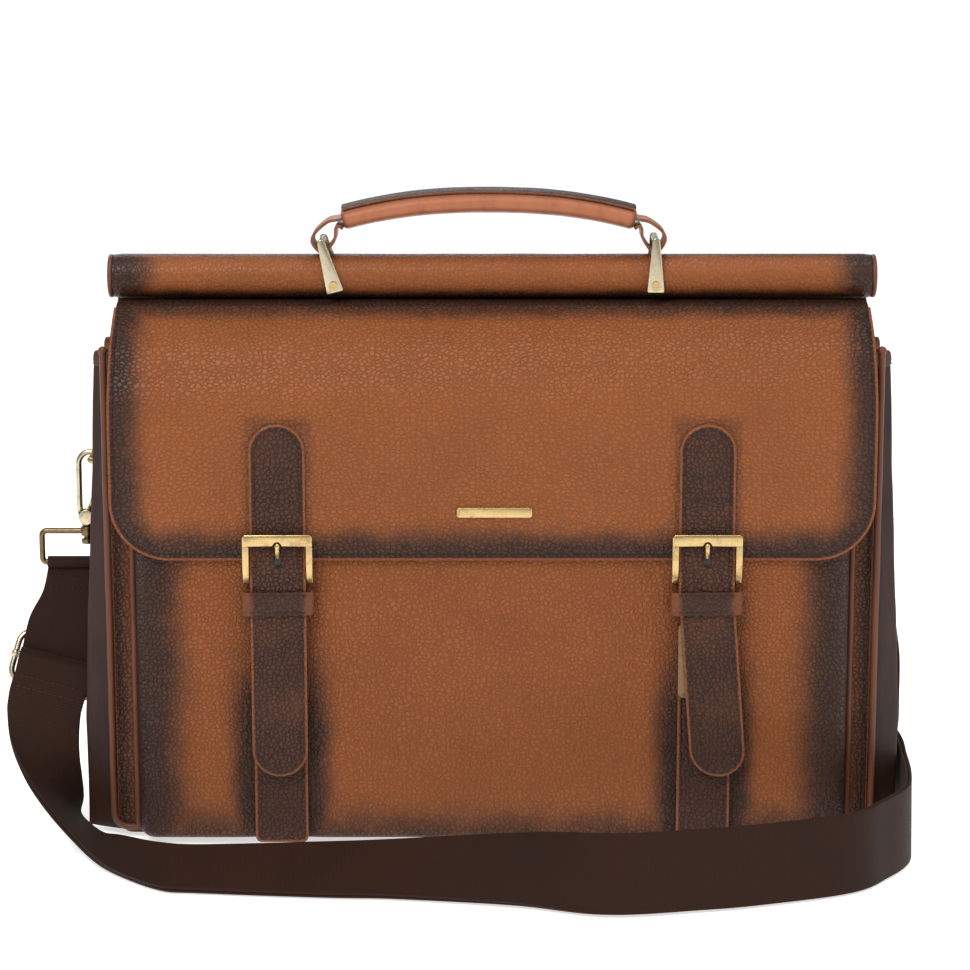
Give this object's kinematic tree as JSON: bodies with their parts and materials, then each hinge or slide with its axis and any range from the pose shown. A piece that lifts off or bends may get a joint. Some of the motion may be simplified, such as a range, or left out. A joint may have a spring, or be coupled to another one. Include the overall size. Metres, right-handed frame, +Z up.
{
  "type": "briefcase",
  "caption": "Leather briefcase with a rod-top flap, buckled straps over a front pocket, a looped carrying handle and a clip-on webbing shoulder strap.",
  "frame": {"origin": "middle of the bag's flat underside, on the surface it stands on", "axes": "+Z up, the front with its straps faces -Y, +X to the right seen from the front"},
  "size_m": [0.4615, 0.2649, 0.3252],
  "materials": {
    "panel_leather": "pebbled, burnished dark at the edges",
    "dark_leather": "pebbled, semi-matt",
    "gusset_leather": "smooth, soft satin",
    "handle_leather": "smooth satin",
    "brass": "brushed antique brass",
    "webbing": "ribbed woven webbing",
    "lining": "woven lining",
    "rod_core": "plain sanded wood"
  },
  "bodies": {
    "bag": {"base_panel": "dark_leather", "base_board": "rod_core", "front_panel": "panel_leather", "back_panel": "panel_leather", "gusset_left": "gusset_leather", "gusset_right": "gusset_leather", "piping_front": "dark_leather", "piping_back": "dark_leather", "front_pocket": "panel_leather", "pocket_piping": "dark_leather", "pocket_binding": "dark_leather", "centre_divider": "lining", "organiser_pocket": "lining", "top_rod": "rod_core", "rod_cover": "panel_leather", "rod_caps": "dark_leather", "lower_strap_left": "dark_leather", "lower_strap_right": "dark_leather", "clasp_socket_left": "brass", "clasp_socket_right": "brass", "handle_screws": "brass", "d_ring_tab_left": "dark_leather", "d_ring_tab_right": "dark_leather", "webbing_inner": "webbing", "webbing_outer": "webbing", "strap_ring_left": "brass", "strap_ring_right": "brass"},
    "flap": {"flap": "panel_leather", "flap_lining": "lining", "badge_plate": "brass", "flap_strap_left": "dark_leather", "flap_strap_right": "dark_leather", "buckle_left": "brass", "buckle_right": "brass", "keeper_left": "dark_leather", "keeper_right": "dark_leather", "clasp_stud_left": "brass", "clasp_stud_right": "brass"},
    "prong_left": {"prong_left": "brass"},
    "prong_right": {"prong_right": "brass"},
    "bracket_left": {"bracket_left": "brass"},
    "bracket_right": {"bracket_right": "brass"},
    "handle": {"handle_grip": "handle_leather", "handle_top_strip": "dark_leather", "handle_loop_left": "handle_leather", "handle_loop_right": "handle_leather"},
    "d_ring_left": {"d_ring_left": "brass"},
    "d_ring_right": {"d_ring_right": "brass"},
    "hook_left": {"hook_left": "brass", "gate_pin_left": "brass"},
    "hook_right": {"hook_right": "brass", "gate_pin_right": "brass"},
    "hook_gate_left": {"hook_gate_left": "brass"},
    "hook_gate_right": {"hook_gate_right": "brass"},
    "slider": {"slider_frame": "brass", "slider_bar": "brass", "strap_end_loop": "webbing"}
  },
  "joints": [
    {"name": "flap_hinge", "type": "hinge", "parent": "bag", "child": "flap", "pos_m": [0, -0.0123, 0.266], "axis": [-1, 0, 0], "range_deg": [0, 105]},
    {"name": "prong_left_pivot", "type": "hinge", "parent": "flap", "child": "prong_left", "pos_m": [-0.105, -0.0534, 0.144], "axis": [1, 0, 0], "range_deg": [0, 45]},
    {"name": "prong_right_pivot", "type": "hinge", "parent": "flap", "child": "prong_right", "pos_m": [0.105, -0.0534, 0.144], "axis": [1, 0, 0], "range_deg": [0, 45]},
    {"name": "bracket_left_pivot", "type": "hinge", "parent": "bag", "child": "bracket_left", "pos_m": [-0.0788, 0.003, 0.2774], "axis": [0, 1, 0], "range_deg": [0, 15]},
    {"name": "handle_pivot", "type": "hinge", "parent": "bracket_left", "child": "handle", "pos_m": [-0.08473, 0.003, 0.29879], "axis": [0, 1, 0], "range_deg": [-15, 0]},
    {"name": "bracket_right_pivot", "type": "hinge", "parent": "bag", "child": "bracket_right", "pos_m": [0.0812, 0.003, 0.2774], "axis": [0, 1, 0], "range_deg": [0, 15]},
    {"name": "d_ring_left_swing", "type": "hinge", "parent": "bag", "child": "d_ring_left", "pos_m": [-0.188, 0.008, 0.18733], "axis": [0, -1, 0], "range_deg": [0, 25]},
    {"name": "d_ring_right_swing", "type": "hinge", "parent": "bag", "child": "d_ring_right", "pos_m": [0.188, 0.008, 0.18733], "axis": [0, 1, 0], "range_deg": [0, 8]},
    {"name": "hook_left_swivel", "type": "hinge", "parent": "bag", "child": "hook_left", "pos_m": [-0.2065, 0.008, 0.15693], "axis": [0, 0, 1], "range_deg": [-15, 15]},
    {"name": "hook_right_swivel", "type": "hinge", "parent": "bag", "child": "hook_right", "pos_m": [0.19875, 0.008, 0.14351], "axis": [0, 0, 1], "range_deg": [-12, 12]},
    {"name": "gate_left_pivot", "type": "hinge", "parent": "hook_left", "child": "hook_gate_left", "pos_m": [-0.2065, 0.008, 0.15693], "axis": [0, -1, 0], "range_deg": [0, 18], "stiffness_Nm_per_rad": 0.01, "springref_deg": -17.19},
    {"name": "gate_right_pivot", "type": "hinge", "parent": "hook_right", "child": "hook_gate_right", "pos_m": [0.19875, 0.008, 0.14351], "axis": [0, 1, 0], "range_deg": [0, 18], "stiffness_Nm_per_rad": 0.01, "springref_deg": -17.19},
    {"name": "slider_slide", "type": "slide", "parent": "bag", "child": "slider", "axis": [-0.2426, -0.3697, -0.8969], "range_m": [-0.004, 0.0025]}
  ],
  "couplings": [
    {"joint": "handle_pivot", "follows": "bracket_left_pivot", "ratio": -1},
    {"joint": "bracket_right_pivot", "follows": "bracket_left_pivot", "ratio": 1}
  ]
}
